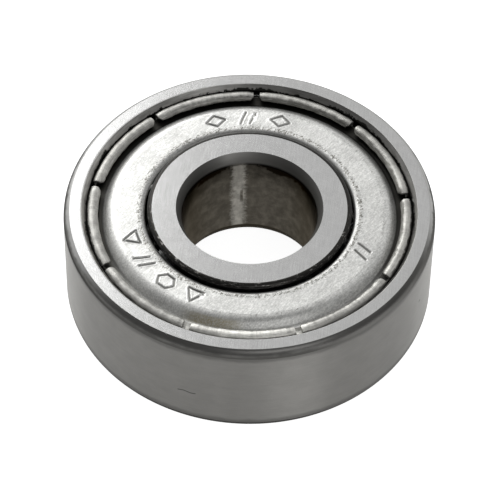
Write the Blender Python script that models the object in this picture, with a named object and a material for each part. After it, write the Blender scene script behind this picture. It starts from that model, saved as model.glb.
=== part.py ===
"""Shielded deep-groove ball bearing, 8 mm bore, 22 mm outside, 7 mm wide.

The bearing's axis is +Z, and the origin is the centre of the bearing. All the
driving dimensions are in millimetres; the model is built in metres.

Pieces: an outer and an inner ring, seven balls, a two-piece pressed ribbon cage
held by seven rivets, and a pressed steel shield in each side of the outer ring.
"""

import math

import bmesh
import bpy
from mathutils import Matrix, Vector

MM = 0.001

# Main dimensions of the bearing.
BORE_RADIUS = 4.0
OUTER_RADIUS = 11.0
HALF_WIDTH = 3.5

# Balls and the raceways that hold them.
BALL_COUNT = 7
BALL_RADIUS = 1.9845
PITCH_RADIUS = 7.5
RACE_RADIUS = 2.03

# Outer ring: corners, land beside the raceway, and the seat of each shield.
OUTER_CORNER_RADIUS = 0.65
OUTER_CORNER_HEIGHT = 0.58
OUTER_FACE_INNER = 9.93
OUTER_LAND = 9.0
LIP_RADIUS = 9.69
LIP_TOP = 0.34
LIP_BOTTOM = 0.42
GROOVE_RADIUS = 9.86
GROOVE_TOP = 0.52
SEAT_DEPTH = 0.96

# Inner ring: corner at the bore, rounded outer corner, and shoulder.
BORE_CORNER_WIDTH = 0.36
BORE_CORNER_HEIGHT = 0.78
BORE_CORNER_BULGE = 0.04
INNER_FACE_OUTER = 5.78
INNER_SHOULDER = 6.05
INNER_CORNER_HEIGHT = 0.16
INNER_CORNER_BULGE = 0.05

# Shield, given by its centre line; depths are below the ring's face.
SHIELD_SHEET = 0.20
LIP_END = (6.22, 0.46)
PLATEAU_INNER = (6.40, 0.35)
PLATEAU_OUTER = (8.16, 0.35)
SLOPE_FOOT = (8.68, 0.83)
CURL_CENTRE = (9.35, 0.57)
CURL_RADIUS = 0.26
CURL_SWEEP = 261.0
NOTCH_COUNT = 9
NOTCH_START = 8.5
NOTCH_WIDTH = 0.45
NOTCH_INNER = 8.80
NOTCH_OUTER = 9.90
NOTCH_FLOOR = 0.70

# Ribbon cage and its rivets.
CAGE_SHEET = 0.30
CAGE_HALF_GAP = 0.02
CAGE_INNER = 6.75
CAGE_OUTER = 8.25
CAGE_ROWS = 3
POCKET_RADIUS = 2.07
POCKET_STEPS = 4
HOLE_RADIUS = 0.29
RIVET_RADIUS = 0.25
RIVET_HEAD_RADIUS = 0.50
RIVET_HEAD_CLEARANCE = 0.01
RIVET_HEAD_HEIGHT = 0.17

# Fineness of the round shapes.
RING_SEGMENTS = 60
SHIELD_SEGMENTS = 48
BALL_SEGMENTS = 20
RIVET_SEGMENTS = 10
HOLE_SEGMENTS = 12
SMOOTH_ANGLE = math.radians(32)
MERGE_DISTANCE = 1e-7

# Colour, metallic value and roughness of each material.
FINISHES = {
    "ground_steel": ((0.42, 0.41, 0.40, 1.0), 1.0, 0.34),
    "polished_steel": ((0.62, 0.62, 0.62, 1.0), 1.0, 0.08),
    "tinned_sheet": ((0.66, 0.66, 0.64, 1.0), 1.0, 0.38),
    "cage_steel": ((0.45, 0.42, 0.38, 1.0), 1.0, 0.42),
}


def clear_scene():
    for thing in list(bpy.data.objects):
        bpy.data.objects.remove(thing, do_unlink=True)


def make_material(name):
    colour, metallic, roughness = FINISHES[name]
    material = bpy.data.materials.new(name)
    material.use_nodes = True
    shader = material.node_tree.nodes["Principled BSDF"]
    shader.inputs["Base Color"].default_value = colour
    shader.inputs["Metallic"].default_value = metallic
    shader.inputs["Roughness"].default_value = roughness
    material.diffuse_color = colour
    return material


def add_piece(name, mesh, material, location=(0, 0, 0), rotation=(0, 0, 0), parent=None):
    """Place a mesh as one named piece of the bearing."""
    piece = bpy.data.objects.new(name, mesh)
    bpy.context.scene.collection.objects.link(piece)
    if not mesh.materials:
        mesh.materials.append(material)
    piece.location = location
    piece.rotation_euler = rotation
    piece.parent = parent
    return piece


def add_axis(name):
    """An empty on the bearing's axis, for pieces that turn round it together."""
    axis = bpy.data.objects.new(name, None)
    bpy.context.scene.collection.objects.link(axis)
    axis.empty_display_size = OUTER_RADIUS * MM
    return axis


def add_cutter(name, mesh, rotation=(0, 0, 0)):
    cutter = bpy.data.objects.new(name, mesh)
    bpy.context.scene.collection.objects.link(cutter)
    cutter.rotation_euler = rotation
    cutter.hide_render = True
    cutter.display_type = "WIRE"
    return cutter


def subtract(piece, cutter):
    cut = piece.modifiers.new("Cut", "BOOLEAN")
    cut.operation = "DIFFERENCE"
    cut.solver = "EXACT"
    cut.object = cutter


def finish_mesh(shape, name):
    """Turn a bmesh into a smooth-shaded mesh with sharp edges where it bends."""
    bmesh.ops.recalc_face_normals(shape, faces=shape.faces)
    mesh = bpy.data.meshes.new(name)
    shape.to_mesh(mesh)
    shape.free()
    mesh.shade_smooth()
    mesh.set_sharp_from_angle(angle=SMOOTH_ANGLE)
    return mesh


def arc(centre, radius, start, end, steps):
    """Points of an arc from one angle to another, in degrees from +r towards +z."""
    points = []
    for step in range(steps + 1):
        angle = math.radians(start + (end - start) * step / steps)
        points.append((centre[0] + radius * math.cos(angle), centre[1] + radius * math.sin(angle)))
    return points


def bulged(start, end, bulge, steps):
    """Points of a shallow arc between two points, bulging to the left by `bulge`."""
    first, last = Vector(start), Vector(end)
    half = (last - first) / 2
    left = Vector((-half.y, half.x)).normalized()
    points = []
    for step in range(steps + 1):
        along = 2 * step / steps - 1
        point = first + half * (1 + along) + left * bulge * (1 - along * along)
        points.append((point.x, point.y))
    return points


def with_lower_half(upper):
    """Close an outline that is symmetric about the mid-plane from its upper half."""
    lower = [(radius, -height) for radius, height in reversed(upper) if height > 1e-9]
    return upper + lower


def offset_line(line, distance):
    """A polyline moved sideways by a distance, with mitred corners."""
    points = [Vector(point) for point in line]
    moved = []
    for index, point in enumerate(points):
        before = (point - points[max(index - 1, 0)]).normalized()
        after = (points[min(index + 1, len(points) - 1)] - point).normalized()
        if index == 0:
            before = after
        if index == len(points) - 1:
            after = before
        along = (before + after).normalized()
        mitre = distance / along.dot(before)
        moved.append((point.x - along.y * mitre, point.y + along.x * mitre))
    return moved


def turned_mesh(name, outline, segments, closed=True):
    """Spin an outline of (radius, height) points, in millimetres, about Z."""
    shape = bmesh.new()
    corners = [shape.verts.new((radius * MM, 0, height * MM)) for radius, height in outline]
    edges = [shape.edges.new(pair) for pair in zip(corners, corners[1:])]
    if closed:
        edges.append(shape.edges.new((corners[-1], corners[0])))
    bmesh.ops.spin(
        shape, geom=corners + edges, cent=(0, 0, 0), axis=(0, 0, 1),
        angle=math.tau, steps=segments, use_merge=True,
    )
    bmesh.ops.remove_doubles(shape, verts=shape.verts, dist=MERGE_DISTANCE)
    return finish_mesh(shape, name)


def below_face(point):
    """Change a (radius, depth below the ring's face) into (radius, height)."""
    return (point[0], HALF_WIDTH - point[1])


def outer_ring_outline():
    corner = (OUTER_RADIUS - OUTER_CORNER_RADIUS, HALF_WIDTH - OUTER_CORNER_HEIGHT)
    corner_end = math.degrees(math.asin(OUTER_CORNER_HEIGHT / OUTER_CORNER_RADIUS))
    race_start = math.degrees(math.acos((OUTER_LAND - PITCH_RADIUS) / RACE_RADIUS))
    upper = arc(corner, OUTER_CORNER_RADIUS, 0, corner_end, 3)
    upper += [
        below_face((OUTER_FACE_INNER, 0)),
        below_face((LIP_RADIUS, LIP_TOP)),
        below_face((LIP_RADIUS, LIP_BOTTOM)),
        below_face((GROOVE_RADIUS, GROOVE_TOP)),
        below_face((GROOVE_RADIUS, SEAT_DEPTH)),
        below_face((OUTER_LAND, SEAT_DEPTH)),
    ]
    upper += arc((PITCH_RADIUS, 0), RACE_RADIUS, race_start, 0, 4)
    return with_lower_half(upper)


def inner_ring_outline():
    race_start = math.degrees(math.acos((INNER_SHOULDER - PITCH_RADIUS) / RACE_RADIUS))
    bore_edge = below_face((BORE_RADIUS, BORE_CORNER_HEIGHT))
    face_edge = below_face((BORE_RADIUS + BORE_CORNER_WIDTH, 0))
    upper = bulged(bore_edge, face_edge, BORE_CORNER_BULGE, 3)
    upper += bulged(
        below_face((INNER_FACE_OUTER, 0)), below_face((INNER_SHOULDER, INNER_CORNER_HEIGHT)),
        INNER_CORNER_BULGE, 2,
    )
    upper += arc((PITCH_RADIUS, 0), RACE_RADIUS, race_start, 180, 4)
    return with_lower_half(upper)


def shield_outline():
    """Outline of the sheet from the lip, over the plateau, to the curled rim."""
    line = [below_face(point) for point in (LIP_END, PLATEAU_INNER, PLATEAU_OUTER, SLOPE_FOOT)]
    line += arc(below_face(CURL_CENTRE), CURL_RADIUS, -90, CURL_SWEEP - 90, 6)
    half_sheet = SHIELD_SHEET / 2
    return offset_line(line, half_sheet) + offset_line(line, -half_sheet)[::-1]


def notch_mesh():
    """Blocks that cut the shield's curled rim into separate tabs."""
    shape = bmesh.new()
    length = NOTCH_OUTER - NOTCH_INNER
    height = 2 * NOTCH_FLOOR
    for index in range(NOTCH_COUNT):
        turn = Matrix.Rotation(math.radians(NOTCH_START + index * 360 / NOTCH_COUNT), 4, "Z")
        place = Matrix.Translation((
            (NOTCH_INNER + length / 2) * MM, 0, (HALF_WIDTH - NOTCH_FLOOR + height / 2) * MM,
        ))
        size = Matrix.Diagonal((length * MM, NOTCH_WIDTH * MM, height * MM, 1))
        bmesh.ops.create_cube(shape, size=1, matrix=turn @ place @ size)
    return finish_mesh(shape, "shield_notches")


def ribbon_columns(pocket_radius, flat_height):
    """Where one ring of ribbon points lies over a ball pitch.

    Returns a function of the ring's radius that gives (angle, height) pairs
    from the middle of one flat, over the pocket, to the edge of the next flat.
    The pocket's points lie on a sphere around the ball.
    """
    def columns(radius):
        reach = math.sqrt(pocket_radius ** 2 - (radius - PITCH_RADIUS) ** 2)
        pairs = [(-math.pi / BALL_COUNT, flat_height)]
        for step in range(-POCKET_STEPS, POCKET_STEPS + 1):
            lean = step / POCKET_STEPS * math.pi / 2
            height = max(reach * math.cos(lean), flat_height)
            spread = pocket_radius ** 2 - height ** 2
            cosine = (radius ** 2 + PITCH_RADIUS ** 2 - spread) / (2 * radius * PITCH_RADIUS)
            pairs.append((math.copysign(math.acos(min(cosine, 1.0)), step), height))
        return pairs
    return columns


def cage_mesh():
    """Upper half of the ribbon cage: a flat ring pressed into seven pockets."""
    shape = bmesh.new()
    inside = ribbon_columns(POCKET_RADIUS, CAGE_HALF_GAP)
    outside = ribbon_columns(POCKET_RADIUS + CAGE_SHEET, CAGE_HALF_GAP + CAGE_SHEET)

    def grid(columns):
        rows = []
        for row in range(CAGE_ROWS + 1):
            radius = CAGE_INNER + (CAGE_OUTER - CAGE_INNER) * row / CAGE_ROWS
            points = []
            for ball in range(BALL_COUNT):
                for angle, height in columns(radius):
                    turn = angle + math.tau * ball / BALL_COUNT
                    points.append(shape.verts.new((
                        radius * math.cos(turn) * MM, radius * math.sin(turn) * MM, height * MM,
                    )))
            rows.append(points)
        return rows

    def skin(first, second):
        for index in range(len(first)):
            after = (index + 1) % len(first)
            shape.faces.new((first[index], first[after], second[after], second[index]))

    lower, upper = grid(inside), grid(outside)
    for rows in (lower, upper):
        for row in range(CAGE_ROWS):
            skin(rows[row], rows[row + 1])
    skin(lower[0], upper[0])
    skin(lower[-1], upper[-1])
    return finish_mesh(shape, "cage_half")


def rivet_place(index):
    """Middle of the flat after ball number `index`, on the pitch circle."""
    angle = math.tau * (index + 0.5) / BALL_COUNT
    return Vector((math.cos(angle), math.sin(angle), 0)) * PITCH_RADIUS * MM


def rivet_hole_mesh():
    shape = bmesh.new()
    for index in range(BALL_COUNT):
        bmesh.ops.create_cone(
            shape, cap_ends=True, segments=HOLE_SEGMENTS, radius1=HOLE_RADIUS * MM,
            radius2=HOLE_RADIUS * MM, depth=4 * CAGE_SHEET * MM,
            matrix=Matrix.Translation(rivet_place(index)),
        )
    return finish_mesh(shape, "rivet_holes")


def rivet_mesh():
    """A rivet with a rounded head on each side of the cage."""
    under_head = CAGE_HALF_GAP + CAGE_SHEET + RIVET_HEAD_CLEARANCE
    crown = under_head + RIVET_HEAD_HEIGHT
    upper = [
        (0, crown),
        (RIVET_HEAD_RADIUS * 0.7, under_head + RIVET_HEAD_HEIGHT * 0.75),
        (RIVET_HEAD_RADIUS, under_head),
        (RIVET_RADIUS, under_head),
    ]
    outline = with_lower_half(upper)
    return turned_mesh("rivet", outline, RIVET_SEGMENTS, closed=False)


def ball_mesh():
    shape = bmesh.new()
    bmesh.ops.create_uvsphere(
        shape, u_segments=BALL_SEGMENTS, v_segments=BALL_SEGMENTS // 2, radius=BALL_RADIUS * MM,
    )
    return finish_mesh(shape, "ball")


def build_rings(materials):
    outer = turned_mesh("outer_ring", outer_ring_outline(), RING_SEGMENTS)
    inner = turned_mesh("inner_ring", inner_ring_outline(), RING_SEGMENTS)
    add_piece("outer_ring", outer, materials["ground_steel"])
    add_piece("inner_ring", inner, materials["ground_steel"])


def build_shields(materials):
    mesh = turned_mesh("shield", shield_outline(), SHIELD_SEGMENTS)
    notches = notch_mesh()
    for side, rotation in (("upper", (0, 0, 0)), ("lower", (math.pi, 0, 0))):
        shield = add_piece(f"shield_{side}", mesh, materials["tinned_sheet"], rotation=rotation)
        subtract(shield, add_cutter(f"notches_{side}", notches, rotation))


def build_cage(materials, axis):
    mesh = cage_mesh()
    holes = add_cutter("rivet_holes", rivet_hole_mesh())
    for side, rotation in (("upper", (0, 0, 0)), ("lower", (math.pi, 0, 0))):
        half = add_piece(
            f"cage_{side}", mesh, materials["cage_steel"], rotation=rotation, parent=axis,
        )
        subtract(half, holes)
    rivet = rivet_mesh()
    for index in range(BALL_COUNT):
        add_piece(
            f"cage_rivet_{index + 1}", rivet, materials["cage_steel"],
            location=rivet_place(index), parent=axis,
        )


def build_balls(materials, axis):
    mesh = ball_mesh()
    for index in range(BALL_COUNT):
        angle = math.tau * index / BALL_COUNT
        place = Vector((math.cos(angle), math.sin(angle), 0)) * PITCH_RADIUS * MM
        add_piece(f"ball_{index + 1}", mesh, materials["polished_steel"], place, parent=axis)


def main():
    clear_scene()
    materials = {name: make_material(name) for name in FINISHES}
    cage_axis = add_axis("cage_axis")
    build_rings(materials)
    build_shields(materials)
    build_cage(materials, cage_axis)
    build_balls(materials, cage_axis)


main()
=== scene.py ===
import math
import random

import bmesh
import bpy
import numpy as np
from mathutils import Matrix, Quaternion, Vector


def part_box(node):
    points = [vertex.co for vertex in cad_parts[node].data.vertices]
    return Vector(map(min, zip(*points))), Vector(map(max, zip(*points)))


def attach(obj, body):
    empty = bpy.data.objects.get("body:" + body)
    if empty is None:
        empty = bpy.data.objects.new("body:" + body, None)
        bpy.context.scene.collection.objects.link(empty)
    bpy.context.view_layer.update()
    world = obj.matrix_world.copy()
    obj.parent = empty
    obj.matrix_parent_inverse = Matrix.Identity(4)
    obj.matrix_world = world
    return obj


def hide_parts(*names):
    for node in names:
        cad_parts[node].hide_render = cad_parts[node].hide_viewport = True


# The looks of a shielded ball bearing. Sizes are in millimetres in the row frame:
# the origin is the bearing's centre, +Z is its axis. Depths are below a ring face.

MM = 0.001
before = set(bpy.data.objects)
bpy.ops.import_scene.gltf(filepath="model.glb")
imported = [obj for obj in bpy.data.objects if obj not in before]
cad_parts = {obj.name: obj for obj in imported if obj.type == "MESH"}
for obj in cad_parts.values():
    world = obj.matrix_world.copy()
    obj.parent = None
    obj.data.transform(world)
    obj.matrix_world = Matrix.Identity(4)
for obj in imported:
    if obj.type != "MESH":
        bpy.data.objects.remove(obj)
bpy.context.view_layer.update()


def radial_reach(node):
    """Smallest and largest distance of a CAD node from the bearing's axis."""
    radii = [math.hypot(v.co.x, v.co.y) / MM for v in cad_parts[node].data.vertices]
    return min(radii), max(radii)


HALF_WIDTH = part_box("outer_ring")[1].z / MM
OUTER_RADIUS = radial_reach("outer_ring")[1]
BORE_RADIUS, INNER_SHOULDER = radial_reach("inner_ring")
CAGE_INNER, CAGE_OUTER = radial_reach("cage_upper")
BALL_RADIUS = (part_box("ball_1")[1].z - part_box("ball_1")[0].z) / 2 / MM
BALL_COUNT = sum(name.startswith("ball_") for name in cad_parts)
PITCH_RADIUS = (CAGE_INNER + CAGE_OUTER) / 2
RACE_RADIUS = 2.03

# Outer ring.
OUTER_CORNER_RADIUS = 0.65
OUTER_CORNER_HEIGHT = 0.58
OUTER_FACE_INNER = 9.93
OUTER_LAND = 9.0
LIP_RADIUS = 9.69
LIP_TOP = 0.34
LIP_BOTTOM = 0.42
GROOVE_RADIUS = 9.86
GROOVE_TOP = 0.52
SEAT_DEPTH = 0.96

# Inner ring.
BORE_CORNER_WIDTH = 0.36
BORE_CORNER_HEIGHT = 0.78
BORE_CORNER_BULGE = 0.04
INNER_FACE_OUTER = 5.78
INNER_CORNER_HEIGHT = 0.16
INNER_CORNER_BULGE = 0.05

# Shield: corners of its centre line, then the curl of its rim.
SHIELD_SHEET = 0.20
LIP_END = (6.22, 0.46)
PLATEAU_INNER = (6.40, 0.35)
PLATEAU_OUTER = (8.16, 0.35)
SLOPE_FOOT = (8.68, 0.83)
SHIELD_BENDS = (0.45, 0.75, 0.45)
CURL_CENTRE = (9.31, 0.57)
CURL_RADIUS = 0.26
CURL_STRETCH = 1.15
CURL_SWEEP = 261.0
PLATEAU_HEIGHT = HALF_WIDTH - PLATEAU_INNER[1] + SHIELD_SHEET / 2
NOTCH_COUNT = 9
NOTCH_START = 8.5
NOTCH_WIDTH = 0.40

# Stamped motifs on the shield: angle in degrees and which motif.
MARK_RADIUS = 7.32
MARK_HEIGHT = 0.87
MARK_WIDTH = 1.18
STROKE_WIDTH = 0.085
STROKE_DEPTH = 0.06
MARKS = [
    (76.0, "diamond"), (91.5, "bars"), (107.0, "diamond"),
    (199.0, "triangle"), (214.0, "bars"), (229.5, "hexagon"), (244.5, "triangle"),
    (335.5, "bars"),
]
MOTIFS = {
    "diamond": [[(-0.5, 0.0), (0.0, 0.5), (0.5, 0.0), (0.0, -0.5), (-0.5, 0.0)]],
    "triangle": [[(-0.45, -0.5), (0.45, -0.5), (0.0, 0.5), (-0.45, -0.5)]],
    "hexagon": [[
        (-0.5, 0.0), (-0.25, 0.5), (0.25, 0.5), (0.5, 0.0), (0.25, -0.5), (-0.25, -0.5), (-0.5, 0.0),
    ]],
    "bars": [[(-0.4, -0.5), (-0.1, 0.5)], [(0.1, -0.5), (0.4, 0.5)]],
}

# Cage and rivets.
CAGE_SHEET = 0.30
CAGE_HALF_GAP = 0.02
CAGE_EDGE = 0.05
CAGE_BEND = 0.16
POCKET_RADIUS = 2.07
RIVET_RADIUS = 0.25
RIVET_HOLE_RADIUS = 0.27
RIVET_HEAD_RADIUS = 0.50
RIVET_HEAD_CLEARANCE = 0.01
RIVET_HEAD_HEIGHT = 0.17

RING_SEGMENTS = 360

# Camera, looking along +Y and down.
CAMERA_ELEVATION = 50.1
CAMERA_DISTANCE = 180.8
CAMERA_ROLL = 1.1
CAMERA_LENS = 217.2
CAMERA_SHIFT = (0.0022, -0.01)

# World: its strength grows along +Y, between these two values of Y.
WORLD_SWEEP = (-0.3, 0.5)
WORLD_STRENGTH = (0.25, 0.93)

# On the outside: a band of painted highlight, one scratch and one speck. Angles in degrees.
PAINTED_HIGHLIGHT_ANGLE = -75
SCRATCH_ANGLE = -108.3
SCRATCH_HEIGHT = -0.83
SPECK_ANGLE = -23.3
SPECK_HEIGHT = 0.4

# In the bore: where the dark stain begins, where it reaches further down, the painted
# highlight streak with a chip in it, and the side of the corner with a painted glint. Angles in degrees.
BORE_STAIN_FROM = 2.6
STAIN_RIGHT_ANGLE = 48
STAIN_LEFT_ANGLE = 146
HIGHLIGHT_STREAK_ANGLE = 100
CHIP_ANGLE = 97.3
CORNER_GLINT_ANGLE = 102

# Wear on the shield: a browned patch, at an angle in degrees.
BROWNED_ANGLE = -104
BROWNED_RADIUS = 8.55


# ---------------------------------------------------------------- outlines

def below_face(point):
    return (point[0], HALF_WIDTH - point[1])


def arc(centre, radius, start, end, steps):
    points = []
    for step in range(steps + 1):
        angle = math.radians(start + (end - start) * step / steps)
        points.append((centre[0] + radius * math.cos(angle), centre[1] + radius * math.sin(angle)))
    return points


def bulged(start, end, bulge, steps):
    first, last = Vector(start), Vector(end)
    half = (last - first) / 2
    left = Vector((-half.y, half.x)).normalized()
    points = []
    for step in range(steps + 1):
        along = 2 * step / steps - 1
        point = first + half * (1 + along) + left * bulge * (1 - along * along)
        points.append((point.x, point.y))
    return points


def rounded(corners, radii, steps=4):
    """Round every inner corner of an open polyline, each with its own radius."""
    points = [corners[0]]
    for before, corner, after, radius in zip(corners, corners[1:], corners[2:], radii):
        here = Vector(corner)
        to_before = (Vector(before) - here).normalized()
        to_after = (Vector(after) - here).normalized()
        half_turn = to_before.angle(to_after) / 2
        reach = radius / math.tan(half_turn)
        middle = here + (to_before + to_after).normalized() * (radius / math.sin(half_turn))
        start = here + to_before * reach - middle
        end = here + to_after * reach - middle
        turn = start.angle_signed(end)
        for step in range(steps + 1):
            angle = -turn * step / steps
            point = middle + Vector((
                start.x * math.cos(angle) - start.y * math.sin(angle),
                start.x * math.sin(angle) + start.y * math.cos(angle),
            ))
            points.append((point.x, point.y))
    return points + [corners[-1]]


def with_lower_half(upper):
    lower = [(radius, -height) for radius, height in reversed(upper) if height > 1e-9]
    return upper + lower


def supported(outline, closed=True, margin=0.02):
    """Add a point close to each end of every long side, so that flats shade flat."""
    points = []
    count = len(outline)
    for index, here in enumerate(outline):
        points.append(here)
        if not closed and index == count - 1:
            break
        after = outline[(index + 1) % count]
        length = math.dist(here, after)
        if length > 5 * margin:
            for share in (margin / length, 1 - margin / length):
                points.append(tuple(a + (b - a) * share for a, b in zip(here, after)))
    return points


# ---------------------------------------------------------------- meshes

def mesh_from(name, vertices, faces, sharp_angle=22):
    mesh = bpy.data.meshes.new(name)
    mesh.from_pydata([tuple(v) for v in np.asarray(vertices) * MM], [], faces)
    mesh.update()
    mesh.shade_smooth()
    mesh.set_sharp_from_angle(angle=math.radians(sharp_angle))
    return mesh


def turned(name, outline, finishes, region, angles=None, place=None):
    """Turn a closed outline about Z.

    `region(point)` says which of the finishes a stretch of the outline takes from
    its middle point. `place(angle, point)` may give a point's radius and height.
    """
    if angles is None:
        angles = [math.tau * column / RING_SEGMENTS for column in range(RING_SEGMENTS)]
    vertices = []
    for angle in angles:
        for point in outline:
            radius, height = place(angle, point) if place else point
            vertices.append((radius * math.cos(angle), radius * math.sin(angle), height))
    rows, columns = len(outline), len(angles)
    faces = []
    for column in range(columns):
        here, after = column * rows, (column + 1) % columns * rows
        for row in range(rows):
            above = (row + 1) % rows
            faces.append((here + row, after + row, after + above, here + above))
    mesh = mesh_from(name, vertices, faces)
    names = list(finishes)
    middles = [np.add(a, b) / 2 for a, b in zip(outline, outline[1:] + outline[:1])]
    numbers = [names.index(region(middle)) for middle in middles]
    for material in finishes.values():
        mesh.materials.append(material)
    mesh.polygons.foreach_set("material_index", numbers * columns)
    return mesh


def turned_solid(name, outline, segments, material):
    """Turn an outline about Z that runs from the axis at the top to the axis at the bottom."""
    ring = outline[1:-1]
    vertices = [(0, 0, outline[0][1]), (0, 0, outline[-1][1])]
    for column in range(segments):
        angle = math.tau * column / segments
        vertices += [(radius * math.cos(angle), radius * math.sin(angle), height) for radius, height in ring]
    rows = len(ring)
    faces = []
    for column in range(segments):
        here, after = 2 + column * rows, 2 + (column + 1) % segments * rows
        faces.append((0, here, after))
        for row in range(rows - 1):
            faces.append((here + row, here + row + 1, after + row + 1, after + row))
        faces.append((1, after + rows - 1, here + rows - 1))
    mesh = mesh_from(name, vertices, faces, sharp_angle=35)
    mesh.materials.append(material)
    return mesh


def cut_holes(mesh, places, radius, depth):
    """Drill straight holes along Z through a mesh."""
    shape = bmesh.new()
    for place in places:
        bmesh.ops.create_cone(
            shape, cap_ends=True, segments=24, radius1=radius * MM, radius2=radius * MM,
            depth=depth * MM, matrix=Matrix.Translation(place),
        )
    drill = bpy.data.objects.new("drill", bpy.data.meshes.new("drill"))
    shape.to_mesh(drill.data)
    shape.free()
    blank = bpy.data.objects.new("blank", mesh)
    for piece in (drill, blank):
        bpy.context.scene.collection.objects.link(piece)
    cut = blank.modifiers.new("holes", "BOOLEAN")
    cut.operation, cut.solver, cut.object = "DIFFERENCE", "EXACT", drill
    drilled = bpy.data.meshes.new_from_object(blank.evaluated_get(bpy.context.evaluated_depsgraph_get()))
    drilled.name = mesh.name
    bpy.data.objects.remove(blank)
    bpy.data.objects.remove(drill)
    drilled.shade_smooth()
    drilled.set_sharp_from_angle(angle=math.radians(35))
    return drilled


def add_piece(name, mesh, body, node, location=(0, 0, 0), turn=0.0):
    """A piece on a moving body, standing for a CAD node; `turn` is about X."""
    piece = bpy.data.objects.new(name, mesh)
    bpy.context.scene.collection.objects.link(piece)
    piece.location = location
    piece.rotation_euler.x = turn
    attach(piece, body)
    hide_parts(node)
    return piece


# ---------------------------------------------------------------- materials

class Finish:
    """A Principled material built node by node, with positions in millimetres."""

    def __init__(self, name, roughness, anisotropic=0.0):
        self.material = bpy.data.materials.new(name)
        self.material.use_nodes = True
        self.nodes = self.material.node_tree.nodes
        self.links = self.material.node_tree.links
        self.shader = self.nodes["Principled BSDF"]
        self.shader.inputs["Metallic"].default_value = 1.0
        self.shader.inputs["Roughness"].default_value = roughness
        self.shader.inputs["Anisotropic"].default_value = anisotropic
        where = self.add("ShaderNodeTexCoord").outputs["Object"]
        self.place = self.vector("MULTIPLY", where, (1 / MM, 1 / MM, 1 / MM))
        split = self.add("ShaderNodeSeparateXYZ")
        self.links.new(self.place, split.inputs[0])
        self.x, self.y, self.z = split.outputs
        flat = self.add("ShaderNodeCombineXYZ")
        self.links.new(self.x, flat.inputs[0])
        self.links.new(self.y, flat.inputs[1])
        self.flat = flat.outputs[0]
        self.radius = self.vector("LENGTH", self.flat)
        self.angle = self.math("ARCTAN2", self.y, self.x)

    def add(self, kind, **settings):
        node = self.nodes.new(kind)
        for key, value in settings.items():
            setattr(node, key, value)
        return node

    def put(self, socket, value):
        if isinstance(value, bpy.types.NodeSocket):
            self.links.new(value, socket)
        else:
            socket.default_value = value

    def vector(self, operation, first, second=None):
        node = self.add("ShaderNodeVectorMath", operation=operation)
        self.put(node.inputs[0], first)
        if second is not None:
            self.put(node.inputs[1], second)
        return node.outputs["Value" if operation == "LENGTH" else "Vector"]

    def math(self, operation, *values):
        node = self.add("ShaderNodeMath", operation=operation)
        for socket, value in zip(node.inputs, values):
            self.put(socket, value)
        return node.outputs[0]

    def ramp(self, value, low, high, start=0.0, end=1.0):
        """Smoothly from `start` to `end` as `value` goes from low to high."""
        node = self.add("ShaderNodeMapRange", interpolation_type="SMOOTHSTEP")
        for socket, number in zip(node.inputs, (value, low, high, start, end)):
            self.put(socket, number)
        return node.outputs[0]

    def combine(self, x, y, z):
        node = self.add("ShaderNodeCombineXYZ")
        for socket, value in zip(node.inputs, (x, y, z)):
            self.put(socket, value)
        return node.outputs[0]

    def rim(self, around, across):
        """Coordinates that run round the axis and up it, without a seam."""
        direction = self.vector("NORMALIZE", self.flat)
        circle = self.vector("MULTIPLY", direction, (around, around, 0.0))
        rise = self.combine(0.0, 0.0, self.math("MULTIPLY", self.z, across))
        return self.vector("ADD", circle, rise)

    def brushed(self, degrees, along, across):
        """Coordinates stretched along a straight direction, for rolling marks and scratches."""
        node = self.add("ShaderNodeMapping", vector_type="TEXTURE")
        self.put(node.inputs["Vector"], self.place)
        self.put(node.inputs["Rotation"], (0.0, 0.0, math.radians(degrees)))
        self.put(node.inputs["Scale"], (along, across, across))
        return node.outputs[0]

    def band(self, value, middle, half_width, edge):
        """One inside a band of values, falling smoothly to nothing at its edges."""
        distance = self.math("ABSOLUTE", self.math("SUBTRACT", value, middle))
        return self.ramp(distance, half_width, half_width + edge, 1.0, 0.0)

    def noise(self, coordinates, scale, detail=3.0, roughness=0.55):
        node = self.add("ShaderNodeTexNoise", normalize=True)
        self.put(node.inputs["Vector"], coordinates)
        self.put(node.inputs["Scale"], scale)
        self.put(node.inputs["Detail"], detail)
        self.put(node.inputs["Roughness"], roughness)
        return node.outputs["Fac"]

    def mix(self, factor, first, second):
        node = self.add("ShaderNodeMix", data_type="RGBA")
        self.put(node.inputs["Factor"], factor)
        for socket, value in zip((node.inputs[6], node.inputs[7]), (first, second)):
            self.put(socket, value if isinstance(value, bpy.types.NodeSocket) else (*value, 1.0))
        return node.outputs[2]

    def scale_colour(self, colour, amount):
        """Brighten or darken a colour by a factor that varies over the surface."""
        node = self.add("ShaderNodeVectorMath", operation="SCALE")
        self.put(node.inputs[0], colour)
        self.put(node.inputs["Scale"], amount)
        return node.outputs["Vector"]

    def bump(self, height, distance, strength=1.0, normal=None):
        node = self.add("ShaderNodeBump")
        self.put(node.inputs["Height"], height)
        self.put(node.inputs["Distance"], distance * MM)
        self.put(node.inputs["Strength"], strength)
        if normal is not None:
            self.put(node.inputs["Normal"], normal)
        return node.outputs[0]

    def round_the_axis(self):
        """Grinding lines run round Z: the shine stretches across them."""
        tangent = self.add("ShaderNodeTangent", direction_type="RADIAL", axis="Z")
        self.put(self.shader.inputs["Tangent"], tangent.outputs[0])
        self.shader.inputs["Anisotropic Rotation"].default_value = 0.25

    def finish(self, colour=None, roughness=None, normal=None):
        if colour is not None:
            self.put(self.shader.inputs["Base Color"], colour)
        if roughness is not None:
            self.put(self.shader.inputs["Roughness"], roughness)
        if normal is not None:
            self.put(self.shader.inputs["Normal"], normal)
        return self.material


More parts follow.
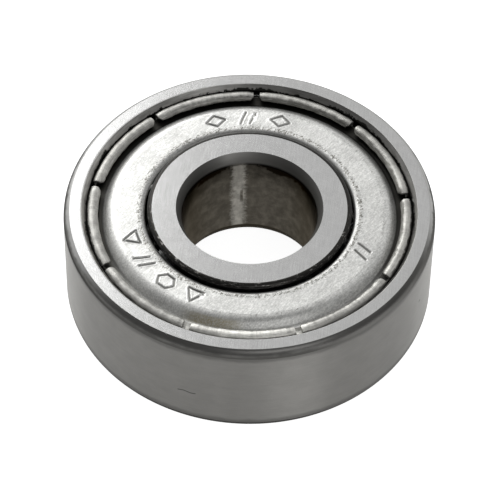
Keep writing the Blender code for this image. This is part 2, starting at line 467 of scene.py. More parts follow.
def face_steel():
    """The flat side faces of both rings: bright, with fine scratches both ways."""
    look = Finish("face_steel", 0.2)
    cloud = look.noise(look.place, 1.6)
    upright = look.noise(look.brushed(84, 1.6, 0.05), 1.0, 4.0, 0.7)
    slanted = look.noise(look.brushed(-28, 0.9, 0.03), 1.0, 4.0, 0.7)
    scratches = look.math("ADD", upright, look.math("MULTIPLY", slanted, 0.6))
    shade = look.math(
        "MULTIPLY", look.ramp(cloud, 0.3, 0.7, 0.97, 1.03), look.ramp(scratches, 0.5, 1.1, 0.9, 1.1),
    )
    return look.finish(look.scale_colour((0.43, 0.43, 0.425), shade), normal=look.bump(scratches, 0.0015))


def outside_steel():
    """The outside of the outer ring, ground round and round, with one short scratch, and painted shade and
    light in its tone.
    """
    look = Finish("outside_steel", 0.42, anisotropic=0.85)
    look.round_the_axis()
    lines = look.noise(look.rim(5.0, 14.0), 1.0, 5.0, 0.7)
    patches = look.noise(look.rim(9.0, 1.2), 1.0, 4.0, 0.6)
    shade = look.math(
        "MULTIPLY", look.ramp(lines, 0.3, 0.7, 0.96, 1.04), look.ramp(patches, 0.3, 0.7, 0.95, 1.05),
    )
    # Painted shade: the outside darker next to its top and bottom corners, along a ragged line.
    uneven = look.math("ADD", look.math("ABSOLUTE", look.z), look.ramp(patches, 0.3, 0.7, -0.08, 0.08))
    edge = look.ramp(uneven, HALF_WIDTH - 0.94, HALF_WIDTH - 0.6, 1.0, 0.6)
    # Painted highlight: a lighter upright band at one angle round the outside.
    painted_highlight_band = look.math("MULTIPLY", look.band(look.angle, math.radians(PAINTED_HIGHLIGHT_ANGLE), 0.04, 0.22), 0.22)
    # Painted light: the outside lighter towards its left and right sides.
    sides_painted_light = look.ramp(look.math("ABSOLUTE", look.x), 9.0, 10.9, 1.0, 1.35)
    shade = look.math("MULTIPLY", look.math("MULTIPLY", shade, edge), look.math("ADD", sides_painted_light, painted_highlight_band))
    # The base is darker than the faces' steel as painted shade, standing in for a shaded floor mirrored in
    # it.
    steel = look.scale_colour((0.175, 0.172, 0.163), shade)
    wander = look.math("MULTIPLY", look.math("SINE", look.math("MULTIPLY", look.angle, 70.0)), 0.04)
    along = look.band(look.angle, math.radians(SCRATCH_ANGLE), math.radians(2.6), math.radians(0.6))
    across = look.band(look.math("ADD", look.z, wander), SCRATCH_HEIGHT, 0.02, 0.045)
    scratch = look.math("MULTIPLY", along, look.math("MULTIPLY", across, 0.75))
    speck = look.math("MULTIPLY", look.band(look.angle, math.radians(SPECK_ANGLE), 0.005, 0.008), 0.8)
    speck = look.math("MULTIPLY", speck, look.band(look.z, SPECK_HEIGHT, 0.04, 0.08))
    return look.finish(look.mix(look.math("MAXIMUM", scratch, speck), steel, (0.03, 0.03, 0.028)))


def corner_steel():
    """The rounded outer corners: painted dark as shade, in tones that change from left to right, with a
    painted highlight beside the face except on the near side.
    """
    look = Finish("corner_steel", 0.34)
    look.put(look.shader.inputs["Specular Tint"], (0.4, 0.4, 0.4, 1.0))
    patches = look.noise(look.rim(9.0, 1.2), 1.0, 4.0, 0.6)
    height = look.math("ADD", look.math("ABSOLUTE", look.z), look.ramp(patches, 0.3, 0.7, -0.06, 0.06))
    upper = look.ramp(height, HALF_WIDTH - 0.42, HALF_WIDTH - 0.16)
    # Painted shade: the corner's dark tones, which change from left to right.
    right = look.ramp(look.x, 3.0, 7.0)
    lower_painted_shade = look.mix(right, (0.058, 0.057, 0.054), (0.115, 0.113, 0.108))
    far_right = look.ramp(look.x, 7.0, 8.8)
    upper_painted_shade = look.mix(far_right, (0.13, 0.128, 0.123), (0.085, 0.084, 0.08))
    steel = look.mix(upper, lower_painted_shade, upper_painted_shade)
    # Painted highlight beside the face, left out on the near side.
    wear_and_highlight = look.ramp(height, HALF_WIDTH - 0.22, HALF_WIDTH - 0.06)
    far = look.math("SUBTRACT", look.y, look.ramp(look.x, 2.0, 6.0, 0.0, 3.5))
    wear_and_highlight = look.math("MULTIPLY", wear_and_highlight, look.ramp(far, -8.0, -3.0, 0.0, 1.0))
    return look.finish(look.mix(wear_and_highlight, steel, (0.4, 0.4, 0.39)))


def bore_steel():
    """The bore, browned by old oil and darkened as painted shade, with a black stain at its upper edge, a
    painted highlight streak, a painted glint on one side of its upper corner and a lower corner painted dark
    as shade.
    """
    look = Finish("bore_steel", 0.34, anisotropic=0.6)
    look.round_the_axis()
    look.put(look.shader.inputs["Specular Tint"], (0.5, 0.48, 0.45, 1.0))
    height = look.math("ABSOLUTE", look.z)
    rough_edge = look.noise(look.rim(14.0, 5.0), 1.0, 5.0, 0.75)
    wander = look.noise(look.rim(2.6, 0.9), 1.0, 4.0)
    right = look.math("MULTIPLY", look.band(look.angle, math.radians(STAIN_RIGHT_ANGLE), 0.25, 0.5), 0.5)
    left = look.math("MULTIPLY", look.band(look.angle, math.radians(STAIN_LEFT_ANGLE), 0.1, 0.3), 0.35)
    spread = look.math("ADD", look.math("ADD", right, left), look.ramp(wander, 0.35, 0.65, -0.3, 0.3))
    ragged = look.math("ADD", look.ramp(rough_edge, 0.3, 0.7, -0.22, 0.14), spread)
    level = look.math("ADD", look.z, ragged)
    patches = look.ramp(look.noise(look.rim(7.0, 1.5), 1.0, 4.0, 0.65), 0.35, 0.7, 0.75, 1.2)
    smears = look.ramp(look.noise(look.brushed(35, 3.0, 0.5), 1.0, 3.0, 0.6), 0.35, 0.65, 0.9, 1.08)
    fading = look.ramp(level, 1.2, 2.7, 1.0, 0.45)
    oil = look.math("MULTIPLY", look.math("MULTIPLY", patches, smears), fading)
    # Brown of old oil, made darker as painted shade inside the bore.
    wall = look.scale_colour((0.078, 0.071, 0.059), oil)
    # Painted highlight: a lighter upright streak with a ragged edge and a dark chip in it, which also thins
    # the stain.
    edge = look.math("ADD", look.angle, look.ramp(rough_edge, 0.3, 0.7, -0.035, 0.035))
    chip_width = look.band(look.angle, math.radians(CHIP_ANGLE), 0.012, 0.02)
    chip = look.math("MULTIPLY", chip_width, look.band(look.z, -0.1, 0.35, 0.3))
    highlight_streak_width = look.band(edge, math.radians(HIGHLIGHT_STREAK_ANGLE), 0.045, 0.1)
    highlight_streak = look.math("SUBTRACT", highlight_streak_width, look.math("MULTIPLY", chip, 0.8))
    wall = look.mix(highlight_streak, wall, look.scale_colour((0.25, 0.24, 0.215), patches))
    stain = look.ramp(level, BORE_STAIN_FROM, BORE_STAIN_FROM + 0.07)
    highlight_through_stain = look.band(look.angle, math.radians(HIGHLIGHT_STREAK_ANGLE), 0.1, 0.1)
    left_over = look.math("SUBTRACT", 1.0, look.math("MULTIPLY", highlight_through_stain, 0.75))
    stain = look.math("MULTIPLY", stain, left_over)
    wall = look.mix(stain, wall, (0.005, 0.0042, 0.0034))
    corner = look.ramp(look.z, HALF_WIDTH - BORE_CORNER_HEIGHT + 0.03, HALF_WIDTH - BORE_CORNER_HEIGHT + 0.22)
    # Painted glint: the upper corner lighter on one side.
    corner_glint = look.band(look.angle, math.radians(CORNER_GLINT_ANGLE), 0.1, 0.8)
    steel = look.mix(corner, wall, look.mix(corner_glint, (0.15, 0.148, 0.14), (0.25, 0.246, 0.235)))
    # Painted shade: the lower corner of the bore near black.
    steel = look.mix(look.ramp(look.z, -2.85, -2.7, 1.0, 0.0), steel, (0.025, 0.023, 0.02))
    return look.finish(steel, roughness=look.ramp(height, 2.7, 2.9, 0.34, 0.44))


def recess_steel():
    """Turned surfaces beside the shields: painted shade deeper in, edged by crimp marks, painted light on the
    left, and painted black shade by the shaft with painted glints on the near side.
    """
    look = Finish("recess_steel", 0.3)
    crimped = look.math(
        "ADD", look.noise(look.rim(26.0, 3.0), 1.0, 5.0, 0.75), look.noise(look.rim(3.0, 0.5), 1.0, 2.0),
    )
    depth = look.math("SUBTRACT", HALF_WIDTH, look.math("ABSOLUTE", look.z))
    # Crimp marks, with painted shade deeper in the recess below their ragged edge.
    crimp_marks_and_shade = look.ramp(look.math("ADD", depth, look.ramp(crimped, 0.7, 1.3, -0.16, 0.16)), 0.27, 0.33)
    shade = look.ramp(look.noise(look.rim(8.0, 6.0), 1.0, 4.0, 0.7), 0.3, 0.7, 0.75, 1.25)
    # Painted light: the wall lighter towards the left.
    left_painted_light = look.ramp(look.x, -7.0, 0.0, 2.1, 1.15)
    wall = look.scale_colour((0.2, 0.197, 0.188), look.math("MULTIPLY", shade, left_painted_light))
    wall = look.mix(crimp_marks_and_shade, wall, (0.02, 0.02, 0.018))
    # Painted shade: black by the shaft, with painted glints only on the near side.
    glint_noise = look.noise(look.rim(16.0, 22.0), 1.0, 5.0, 0.75)
    painted_glint = look.math("MULTIPLY", look.ramp(glint_noise, 0.56, 0.62), look.ramp(look.y, -2.0, 1.0, 1.0, 0.0))
    shaft_side = look.mix(painted_glint, (0.028, 0.027, 0.025), (0.24, 0.235, 0.22))
    near_shaft = look.ramp(look.radius, 7.0, 7.1, 1.0, 0.0)
    return look.finish(look.mix(near_shaft, wall, shaft_side))


def raceway_steel():
    """Inside surfaces: honed raceways and the turned lands beside them."""
    look = Finish("raceway_steel", 0.2)
    cloud = look.noise(look.place, 2.0)
    return look.finish(look.scale_colour((0.35, 0.35, 0.345), look.ramp(cloud, 0.3, 0.7, 0.95, 1.05)))


def tinned_sheet():
    """Rolled tin plate: streaks one way, pits, tool marks in rings, and painted shade round the curl, with
    painted light on its near side.
    """
    look = Finish("tinned_sheet", 0.33)
    streaks = look.noise(look.brushed(52, 0.28, 0.08), 1.0, 4.0, 0.65)
    cloud = look.noise(look.place, 0.8, 3.0)
    grain = look.noise(look.place, 11.0, 2.0)
    shade = look.math(
        "MULTIPLY", look.ramp(streaks, 0.3, 0.7, 0.8, 1.14), look.ramp(cloud, 0.35, 0.65, 0.93, 1.05),
    )
    shade = look.math("MULTIPLY", shade, look.ramp(grain, 0.3, 0.7, 0.85, 1.12))
    colour = look.scale_colour((0.58, 0.58, 0.562), shade)

    broken = look.noise(look.brushed(52, 0.16, 0.07), 1.0, 3.0, 0.7)
    inner_marks = look.math("MULTIPLY", look.band(look.radius, 6.56, 0.05, 0.22), 0.17)
    outer_marks = look.math("MULTIPLY", look.band(look.radius, 7.95, 0.03, 0.1), 0.07)
    pit = look.ramp(look.math("ADD", broken, look.math("ADD", inner_marks, outer_marks)), 0.66, 0.73)
    colour = look.mix(pit, colour, (0.16, 0.155, 0.14))
    # The stamped grooves are darkened by dirt in them and by painted shade.
    on_plateau = look.band(look.radius, MARK_RADIUS, 0.5, 0.05)
    pressed = look.ramp(look.z, PLATEAU_HEIGHT - 0.045, PLATEAU_HEIGHT - 0.015, 1.0, 0.0)
    colour = look.mix(look.math("MULTIPLY", on_plateau, pressed), colour, (0.2, 0.2, 0.19))

    # Painted shade: the rolled lip darker towards the gap by the inner ring.
    lip_painted_shade = look.ramp(look.radius, 6.36, 6.5, 0.56, 1.0)
    colour = look.scale_colour(colour, lip_painted_shade)
    browned_across = look.band(look.radius, BROWNED_RADIUS, 0.15, 0.2)
    browned_along = look.band(look.angle, math.radians(BROWNED_ANGLE), 0.1, 0.15)
    browned = look.math("MULTIPLY", browned_across, browned_along)
    browned = look.math("MULTIPLY", browned, look.ramp(broken, 0.4, 0.6, 0.3, 0.9))
    colour = look.mix(browned, colour, (0.36, 0.32, 0.22))
    dashes = look.noise(look.rim(24.0, 5.0), 1.0, 5.0, 0.75)
    stretched = look.combine(look.radius, look.z, look.math("MULTIPLY", look.angle, 0.7))
    along_rim = look.noise(stretched, 22.0, 3.0)
    wear_and_highlight = look.math(
        "MULTIPLY", look.ramp(dashes, 0.3, 0.7, 0.75, 1.2), look.ramp(along_rim, 0.3, 0.7, 0.8, 1.15),
    )
    # Painted light: the curl lighter at its nearest point.
    wear_and_highlight = look.math("MULTIPLY", wear_and_highlight, look.ramp(look.y, -9.6, -8.0, 1.85, 1.0))
    curl = look.scale_colour((0.42, 0.415, 0.392), wear_and_highlight)
    # Painted shade on the curl's inner flank, mottled, stronger towards the right.
    flank = look.math("ADD", look.radius, look.ramp(dashes, 0.3, 0.7, -0.06, 0.06))
    flank_painted_shade = look.math(
        "MULTIPLY", look.ramp(along_rim, 0.35, 0.65, 1.0, 0.6), look.ramp(look.x, -6.0, 0.0, 0.15, 0.75),
    )
    flank_painted_shade = look.math("MULTIPLY", flank_painted_shade, look.ramp(flank, 9.08, 9.2, 1.0, 0.0))
    curl = look.mix(flank_painted_shade, curl, (0.07, 0.067, 0.058))
    # Painted shade in the crevice outside the curl and in the valley, fading out on the near side.
    far_side_shade = look.ramp(look.y, -9.5, -3.0, 0.1, 1.0)
    crevice_painted_shade = look.math("MULTIPLY", look.ramp(flank, 9.52, 9.57, 0.0, 0.9), far_side_shade)
    curl = look.mix(crevice_painted_shade, curl, (0.02, 0.02, 0.018))
    colour = look.mix(look.ramp(look.radius, 8.88, 8.93), colour, curl)
    # Painted shade: the valley under the curl near black.
    low = look.ramp(look.z, HALF_WIDTH - 0.72, HALF_WIDTH - 0.6, 1.0, 0.0)
    foot = look.math("ADD", look.radius, look.ramp(look.x, -6.0, -2.0, 0.03, 0.0))
    valley_painted_shade = look.math("MULTIPLY", look.math("MULTIPLY", low, look.ramp(foot, 8.6, 8.72)), far_side_shade)
    colour = look.mix(valley_painted_shade, colour, (0.03, 0.029, 0.026))
    rough = look.ramp(look.radius, 8.1, 8.4, 0.33, 0.45)
    grained = look.bump(look.math("ADD", streaks, grain), 0.005)
    return look.finish(colour, roughness=rough, normal=grained)


def cage_steel():
    """Pressed strip: drawn streaks, duller at the bends, under a thin film of oil."""
    look = Finish("cage_steel", 0.38)
    streaks = look.noise(look.brushed(20, 0.5, 0.06), 1.0, 4.0, 0.65)
    cloud = look.noise(look.place, 1.8, 3.0)
    shade = look.math(
        "MULTIPLY", look.ramp(streaks, 0.3, 0.7, 0.86, 1.1), look.ramp(cloud, 0.35, 0.65, 0.88, 1.06),
    )
    rise = look.math("ABSOLUTE", look.z)
    bend = look.math("MULTIPLY", look.band(rise, 0.6, 0.15, 0.3), 0.35)
    steel = look.mix(bend, look.scale_colour((0.46, 0.445, 0.41), shade), (0.2, 0.19, 0.165))
    rough = look.ramp(cloud, 0.35, 0.65, 0.3, 0.46)
    return look.finish(steel, roughness=rough, normal=look.bump(streaks, 0.004))


def rivet_steel():
    """Soft rivets, their heads dented by the closing tool."""
    look = Finish("rivet_steel", 0.32)
    dents = look.noise(look.place, 5.0, 3.0)
    steel = look.scale_colour((0.5, 0.49, 0.46), look.ramp(dents, 0.3, 0.7, 0.85, 1.1))
    return look.finish(steel, roughness=look.ramp(dents, 0.3, 0.7, 0.25, 0.4), normal=look.bump(dents, 0.02))


def ball_steel():
    """Lapped balls: nearly mirrors, with faint smears of oil."""
    look = Finish("ball_steel", 0.07)
    smears = look.noise(look.brushed(40, 2.0, 0.5), 1.0, 4.0, 0.6)
    steel = look.scale_colour((0.6, 0.6, 0.595), look.ramp(smears, 0.35, 0.65, 0.93, 1.03))
    return look.finish(steel, roughness=look.ramp(smears, 0.4, 0.7, 0.05, 0.13))


# ---------------------------------------------------------------- rings

def outer_ring_outline():
    corner = (OUTER_RADIUS - OUTER_CORNER_RADIUS, HALF_WIDTH - OUTER_CORNER_HEIGHT)
    corner_end = math.degrees(math.asin(OUTER_CORNER_HEIGHT / OUTER_CORNER_RADIUS))
    race_start = math.degrees(math.acos((OUTER_LAND - PITCH_RADIUS) / RACE_RADIUS))
    upper = arc(corner, OUTER_CORNER_RADIUS, 0, corner_end, 12)
    inside = [
        below_face((OUTER_FACE_INNER + 0.1, 0)),
        below_face((OUTER_FACE_INNER, 0)),
        below_face((LIP_RADIUS, LIP_TOP)),
        below_face((LIP_RADIUS, LIP_BOTTOM)),
        below_face((GROOVE_RADIUS, GROOVE_TOP)),
        below_face((GROOVE_RADIUS, SEAT_DEPTH)),
        below_face((OUTER_LAND, SEAT_DEPTH)),
        (OUTER_LAND, RACE_RADIUS * math.sin(math.radians(race_start)) + 0.1),
    ]
    upper += rounded(inside, [0.02] * (len(inside) - 2), 3)
    upper += arc((PITCH_RADIUS, 0), RACE_RADIUS, race_start, 0, 16)
    return supported(with_lower_half(upper))


def inner_ring_outline():
    race_start = math.degrees(math.acos((INNER_SHOULDER - PITCH_RADIUS) / RACE_RADIUS))
    bore_edge = below_face((BORE_RADIUS, BORE_CORNER_HEIGHT))
    face_edge = below_face((BORE_RADIUS + BORE_CORNER_WIDTH, 0))
    upper = bulged(bore_edge, face_edge, BORE_CORNER_BULGE, 8)
    upper += bulged(
        below_face((INNER_FACE_OUTER, 0)), below_face((INNER_SHOULDER, INNER_CORNER_HEIGHT)),
        INNER_CORNER_BULGE, 6,
    )
    upper += arc((PITCH_RADIUS, 0), RACE_RADIUS, race_start, 180, 16)
    return supported(with_lower_half(upper))[::-1]


# ---------------------------------------------------------------- shields

def ripple(seed, waves, lowest, highest):
    """A smooth periodic wave round the bearing, between about -1 and 1."""
    dice = random.Random(seed)
    parts = [(dice.randint(lowest, highest), dice.uniform(0, math.tau)) for _ in range(waves)]

    def value(angle):
        return sum(np.cos(count * angle + phase) for count, phase in parts) / math.sqrt(2 * waves)
    return value


def motif_distance(name, across, along):
    """Distance from points in a motif's own plane to its strokes."""
    nearest = np.full(np.shape(across), 9.0)
    for stroke in MOTIFS[name]:
        points = [(x * MARK_WIDTH, y * MARK_HEIGHT) for x, y in stroke]
        for (x0, y0), (x1, y1) in zip(points, points[1:]):
            dx, dy = x1 - x0, y1 - y0
            share = ((across - x0) * dx + (along - y0) * dy) / (dx * dx + dy * dy)
            share = np.clip(share, 0, 1)
            nearest = np.minimum(nearest, np.hypot(across - x0 - share * dx, along - y0 - share * dy))
    return nearest


def stamped_depth(radius, angle):
    """How far the stamped motifs press the sheet down, with a slight raised burr."""
    depth = np.zeros(np.shape(radius))
    for degrees, name in MARKS:
        turned_by = (angle - math.radians(degrees) + math.pi) % math.tau - math.pi
        nearest = motif_distance(name, -turned_by * MARK_RADIUS, radius - MARK_RADIUS)
        groove = np.clip(1 - (nearest / STROKE_WIDTH) ** 2, 0, 1) ** 1.5
        burr = np.exp(-((nearest - 1.5 * STROKE_WIDTH) / (0.5 * STROKE_WIDTH)) ** 2)
        depth += STROKE_DEPTH * (groove - 0.15 * burr)
    return depth


def shield_rows():
    """Centre line of the sheet, row by row, up to the start of the curl."""
    corners = [below_face(p) for p in (LIP_END, PLATEAU_INNER, PLATEAU_OUTER, SLOPE_FOOT)]
    curl_start = (CURL_CENTRE[0], SLOPE_FOOT[1])
    line = rounded(corners + [below_face(curl_start)], SHIELD_BENDS, 6)
    fine_from = MARK_RADIUS - MARK_HEIGHT / 2 - 0.2
    fine_to = MARK_RADIUS + MARK_HEIGHT / 2 + 0.2
    rows = []
    for here, after in zip(line, line[1:]):
        length = math.dist(here, after)
        flat = abs(here[1] - after[1]) < 1e-6 and length > 1.0
        if not flat:
            pieces = max(1, round(length / 0.12))
            stops = [i / pieces for i in range(pieces)]
        else:
            radii = list(np.arange(here[0], fine_from, 0.1))
            radii += list(np.arange(fine_from, fine_to, 0.04))
            radii += list(np.arange(fine_to, after[0] - 0.05, 0.1))
            stops = [(r - here[0]) / (after[0] - here[0]) for r in radii]
        for share in stops:
            rows.append(tuple(a + (b - a) * share for a, b in zip(here, after)))
    return rows


def shield_columns(notches):
    """Angles of the sheet's columns: close together at the motifs and the notches."""
    angles = {round(float(a), 4) for a in np.arange(0, 360, 1.25)}
    for degrees, _ in MARKS:
        half = math.degrees((MARK_WIDTH / 2 + 0.2) / MARK_RADIUS)
        angles |= {round(float(a), 4) for a in np.arange(degrees - half, degrees + half, 0.32)}
    for low, high in notches:
        angles = {a for a in angles if not low - 1.2 < a < high + 1.2}
        for edge, outward in ((low, -1), (high, 1)):
            angles |= {round(edge + outward * step, 4) for step in (0, 0.12, 0.35, 0.7, 1.1)}
        angles.add(round((low + high) / 2, 4))
    return sorted(a % 360 for a in angles)


def shield_mesh(name):
    dice = random.Random(8)
    notches = []
    for index in range(NOTCH_COUNT):
        middle = NOTCH_START + index * 360 / NOTCH_COUNT + dice.uniform(-0.4, 0.4)
        half = math.degrees(NOTCH_WIDTH / 2 / CURL_CENTRE[0]) * dice.uniform(0.8, 1.15)
        notches.append((round(middle - half, 4), round(middle + half, 4)))
    columns = shield_columns(notches)
    base = shield_rows()
    curl_steps = 20
    keep_steps = 5
    top_wave = ripple(2, 9, 3, 24)
    edge_wave, edge_teeth = ripple(3, 12, 10, 60), ripple(4, 24, 90, 330)
    crest_wave = ripple(5, 16, 9, 70)

    def end_gap(degrees):
        """Distance in millimetres along the rim to the nearest notch edge."""
        gap = min(min(abs((degrees - edge + 180) % 360 - 180) for edge in pair) for pair in notches)
        return math.radians(gap) * CURL_CENTRE[0]

    def centre_line(degrees):
        angle = math.radians(degrees)
        near = end_gap(degrees)
        sweep = CURL_SWEEP + 5 * edge_wave(angle) + 4 * edge_teeth(angle)
        sweep -= 45 * math.exp(-(near / 0.12) ** 2)
        radius = CURL_RADIUS + 0.006 * crest_wave(angle) - 0.02 * math.exp(-(near / 0.2) ** 2)
        line = [(r, z + 0.006 * top_wave(angle) * min(1, (8.3 - min(r, 8.3)))) for r, z in base]
        floor = HALF_WIDTH - SLOPE_FOOT[1]
        for step in range(curl_steps + 1):
            turn = math.radians(-90 + sweep * step / curl_steps)
            line.append((
                CURL_CENTRE[0] + radius * CURL_STRETCH * math.cos(turn),
                floor + radius + radius * math.sin(turn),
            ))
        return line

    rows = len(base) + curl_steps + 1
    kept = len(base) + keep_steps
    tops, bottoms = [], []
    for degrees in columns:
        line = np.array(centre_line(degrees))
        along = np.gradient(line, axis=0)
        along /= np.linalg.norm(along, axis=1)[:, None]
        normal = np.stack([-along[:, 1], along[:, 0]], axis=1)
        half = np.full(rows, SHIELD_SHEET / 2)
        half[[0, -1]] *= 0.55
        half[[1, -2]] *= 0.9
        if end_gap(degrees) < 0.005:
            half[kept:] *= 0.75
        angle = math.radians(degrees)
        pressed = stamped_depth(line[:, 0], np.full(rows, angle)) * (line[:, 0] < 8.0)
        pressed *= np.arange(rows) < len(base)
        for side, store, share in ((1, tops, 1.0), (-1, bottoms, 0.5)):
            points = line + normal * (side * half)[:, None]
            heights = points[:, 1] - pressed * share
            store.append(np.stack([
                points[:, 0] * math.cos(angle), points[:, 0] * math.sin(angle), heights,
            ], axis=1))
    count = len(columns)
    vertices = np.concatenate([np.concatenate(tops), np.concatenate(bottoms)])
    inside_notch = [any(low < a < high for low, high in notches) for a in columns]

    def top(column, row):
        return column % count * rows + row

    def bottom(column, row):
        return count * rows + top(column, row)

    faces = []
    cut = kept - 1
    for column in range(count):
        after = column + 1
        open_here = inside_notch[column] or inside_notch[after % count]
        last = cut if open_here else rows - 1
        for row in range(last):
            faces.append((top(column, row), top(column, row + 1), top(after, row + 1), top(after, row)))
            faces.append((
                bottom(column, row), bottom(after, row), bottom(after, row + 1), bottom(column, row + 1),
            ))
        faces.append((top(column, 0), top(after, 0), bottom(after, 0), bottom(column, 0)))
        faces.append((bottom(column, last), bottom(after, last), top(after, last), top(column, last)))
        before_open = inside_notch[column - 1]
        if not inside_notch[column] and inside_notch[after % count]:
            for row in range(cut, rows - 1):
                faces.append((
                    top(column, row), top(column, row + 1), bottom(column, row + 1), bottom(column, row),
                ))
        if not inside_notch[column] and before_open:
            for row in range(cut, rows - 1):
                faces.append((
                    bottom(column, row), bottom(column, row + 1), top(column, row + 1), top(column, row),
                ))
    used = sorted({corner for face in faces for corner in face})
    renumber = {old: new for new, old in enumerate(used)}
    faces = [tuple(renumber[corner] for corner in face) for face in faces]
    return mesh_from(name, vertices[used], faces, sharp_angle=50)


# ---------------------------------------------------------------- cage, rivets and balls

def cage_angles():
    """Angles of the cage's columns, close together where the sheet bends into a pocket."""
    half_pitch = 180 / BALL_COUNT
    side = [*np.arange(1.2, 12, 1.2), *np.arange(12, 19.5, 0.3), *np.linspace(19.5, half_pitch, 6)[:-1]]
    offsets = [-a for a in reversed(side)] + [0.0] + side + [half_pitch]
    return [math.radians(2 * half_pitch * ball + a) for ball in range(BALL_COUNT) for a in offsets]


def cage_surface(angle, radius, pocket, flat):
    """Height of one face of the sheet, softly bent from the flat into a ball pocket."""
    pitch = math.tau / BALL_COUNT
    offset = (angle + pitch / 2) % pitch - pitch / 2
    away = radius ** 2 + PITCH_RADIUS ** 2 - 2 * radius * PITCH_RADIUS * math.cos(offset)
    room = pocket ** 2 - away
    dome = math.copysign(math.sqrt(abs(room)), room)
    return (dome + flat + math.hypot(dome - flat, CAGE_BEND)) / 2


def cage_mesh(material):
    """The upper half of the cage. Its section is given by radius and share of the thickness."""
    radii = np.linspace(CAGE_INNER + CAGE_EDGE, CAGE_OUTER - CAGE_EDGE, 9)
    section = [(radius, 0.0) for radius in radii] + [(CAGE_OUTER, 0.15), (CAGE_OUTER, 0.85)]
    section += [(radius, 1.0) for radius in reversed(radii)] + [(CAGE_INNER, 0.85), (CAGE_INNER, 0.15)]

    def place(angle, point):
        radius, share = point
        lower = cage_surface(angle, radius, POCKET_RADIUS, CAGE_HALF_GAP)
        upper = cage_surface(angle, radius, POCKET_RADIUS + CAGE_SHEET, CAGE_HALF_GAP + CAGE_SHEET)
        return radius, lower + (upper - lower) * share

    blank = turned("cage_half", section, {"cage": material}, lambda _: "cage", cage_angles(), place)
    holes = [middle_of(f"cage_rivet_{number}") for number in range(1, BALL_COUNT + 1)]
    return cut_holes(blank, holes, RIVET_HOLE_RADIUS, 4 * CAGE_SHEET)


def rivet_mesh(material):
    under_head = CAGE_HALF_GAP + CAGE_SHEET + RIVET_HEAD_CLEARANCE
    crown = under_head + RIVET_HEAD_HEIGHT
    brim = under_head + 0.04
    upper = []
    for step in range(9):
        turn = math.radians(90 * step / 8)
        upper.append((RIVET_HEAD_RADIUS * math.sin(turn), brim + (crown - brim) * math.cos(turn)))
    upper += [(RIVET_HEAD_RADIUS - 0.02, under_head), (RIVET_RADIUS, under_head)]
    return turned_solid("rivet", with_lower_half(upper), 32, material)


def ball_mesh(material):
    outline = [
        (BALL_RADIUS * math.sin(math.pi * step / 40), BALL_RADIUS * math.cos(math.pi * step / 40))
        for step in range(41)
    ]
    return turned_solid("ball", outline, 64, material)


def middle_of(node):
    low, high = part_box(node)
    return (low + high) / 2


# ---------------------------------------------------------------- assembly

def outer_region(middle):
    radius, height = middle
    if radius > OUTER_FACE_INNER and abs(height) > HALF_WIDTH - 1e-6:
        return "face"
    if radius > OUTER_RADIUS - OUTER_CORNER_RADIUS:
        return "corner" if abs(height) > HALF_WIDTH - OUTER_CORNER_HEIGHT + 0.03 else "outside"
    return "recess" if abs(height) > HALF_WIDTH - SEAT_DEPTH + 0.02 else "raceway"


def inner_region(middle):
    radius, height = middle
    if abs(height) > HALF_WIDTH - 1e-6:
        return "face"
    if radius < BORE_RADIUS + BORE_CORNER_WIDTH:
        return "bore"
    return "recess" if abs(height) > HALF_WIDTH - SEAT_DEPTH else "raceway"


def build_rings():
    face, recess, raceway = face_steel(), recess_steel(), raceway_steel()
    outside = {"outside": outside_steel(), "corner": corner_steel()}
    inside = {"face": face, "recess": recess, "raceway": raceway}
    outer = turned("outer_ring_body", outer_ring_outline(), {**outside, **inside}, outer_region)
    inner = turned("inner_ring_body", inner_ring_outline(), {"bore": bore_steel(), **inside}, inner_region)
    add_piece("outer_ring_body", outer, "housing_side", "outer_ring")
    add_piece("inner_ring_body", inner, "shaft_side", "inner_ring")


def build_shields():
    shield = shield_mesh("shield_sheet")
    shield.materials.append(tinned_sheet())
    for side, turn in (("upper", 0.0), ("lower", math.pi)):
        node = f"shield_{side}"
        add_piece(f"{node}_sheet", shield, "housing_side", node, turn=turn)


def build_cage():
    half = cage_mesh(cage_steel())
    for side, turn in (("upper", 0.0), ("lower", math.pi)):
        node = f"cage_{side}"
        add_piece(f"{node}_sheet", half, "cage", node, turn=turn)
    rivet = rivet_mesh(rivet_steel())
    for number in range(1, BALL_COUNT + 1):
        node = f"cage_rivet_{number}"
        add_piece(f"{node}_body", rivet, "cage", node, middle_of(node))


def build_balls():
    ball = ball_mesh(ball_steel())
    for number in range(1, BALL_COUNT + 1):
        node = f"ball_{number}"
        add_piece(f"{node}_body", ball, f"rolling_{node}", node, middle_of(node))


# ---------------------------------------------------------------- studio

def make_floor():
    floor_height = -HALF_WIDTH - 0.01
    size = 3000.0
    corners = [(-size, -size), (size, -size), (size, size), (-size, size)]
    mesh = bpy.data.meshes.new("floor")
    mesh.from_pydata([(x * MM, y * MM, floor_height * MM) for x, y in corners], [], [(0, 1, 2, 3)])
    floor = bpy.data.objects.new("floor", mesh)
    bpy.context.scene.collection.objects.link(floor)
    material = bpy.data.materials.new("floor_white")
    material.use_nodes = True
    shader = material.node_tree.nodes["Principled BSDF"]
    shader.inputs["Base Color"].default_value = (0.65, 0.65, 0.65, 1)
    shader.inputs["Roughness"].default_value = 1.0
    shader.inputs["Specular IOR Level"].default_value = 0.0
    shader.inputs["Emission Color"].default_value = (1, 1, 1, 1)
    shader.inputs["Emission Strength"].default_value = 0.92
    mesh.materials.append(material)


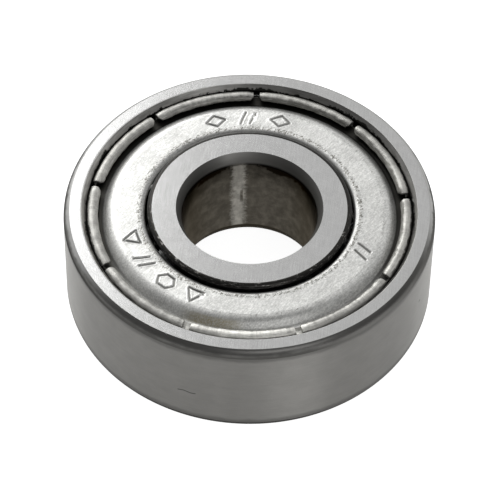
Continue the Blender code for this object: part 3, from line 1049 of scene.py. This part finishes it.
def add_softbox(name, azimuth, elevation, distance, size, brightness, spin=0.0):
    """A rectangular lamp aimed at the bearing, at a distance in millimetres.

    Azimuth is counter-clockwise from +X, seen from above, and brightness is the
    radiance of the lamp's face.
    """
    turn, lift = math.radians(azimuth), math.radians(elevation)
    direction = Vector((math.cos(turn) * math.cos(lift), math.sin(turn) * math.cos(lift), math.sin(lift)))
    lamp = bpy.data.lights.new(name, "AREA")
    lamp.shape = "RECTANGLE"
    lamp.size, lamp.size_y = size[0] * MM, size[1] * MM
    lamp.energy = math.pi * lamp.size * lamp.size_y * brightness
    box = bpy.data.objects.new(name, lamp)
    bpy.context.scene.collection.objects.link(box)
    box.location = direction * distance * MM
    box.rotation_mode = "QUATERNION"
    spun = Quaternion((0, 0, 1), math.radians(spin))
    box.rotation_quaternion = direction.to_track_quat("Z", "Y") @ spun
    box.visible_camera = False


def make_world():
    world = bpy.data.worlds.new("studio")
    world.use_nodes = True
    bpy.context.scene.world = world
    nodes, links = world.node_tree.nodes, world.node_tree.links
    background = nodes["Background"]
    where = nodes.new("ShaderNodeTexCoord")
    split = nodes.new("ShaderNodeSeparateXYZ")
    ramp = nodes.new("ShaderNodeMapRange")
    ramp.interpolation_type = "SMOOTHSTEP"
    links.new(where.outputs["Generated"], split.inputs[0])
    links.new(split.outputs[1], ramp.inputs[0])
    for socket, value in zip(ramp.inputs[1:5], WORLD_SWEEP + WORLD_STRENGTH):
        socket.default_value = value
    links.new(ramp.outputs[0], background.inputs["Strength"])
    background.inputs["Color"].default_value = (1, 1, 1, 1)


def make_camera():
    elevation = math.radians(CAMERA_ELEVATION)
    back = Vector((0, -math.cos(elevation), math.sin(elevation)))
    data = bpy.data.cameras.new("camera")
    data.sensor_width = 36.0
    data.lens = CAMERA_LENS
    data.shift_x, data.shift_y = CAMERA_SHIFT
    data.clip_start, data.clip_end = 0.01, 20.0
    camera = bpy.data.objects.new("camera", data)
    bpy.context.scene.collection.objects.link(camera)
    camera.location = back * CAMERA_DISTANCE * MM
    camera.rotation_mode = "QUATERNION"
    level = (-back).to_track_quat("-Z", "Y")
    camera.rotation_quaternion = level @ Quaternion((0, 0, 1), math.radians(CAMERA_ROLL))
    bpy.context.scene.camera = camera


build_rings()
build_shields()
build_cage()
build_balls()
make_floor()
make_world()
add_softbox("key", 115, 37, 165, (90, 90), 3.05, spin=-25)
add_softbox("front_right", 291, 42, 300, (185, 110), 1.8)
add_softbox("strip", 300, 10, 200, (40, 70), 1.5)
add_softbox("back_left", 128, 12, 250, (110, 60), 1.0)
make_camera()
bpy.context.scene.view_settings.view_transform = "Standard"
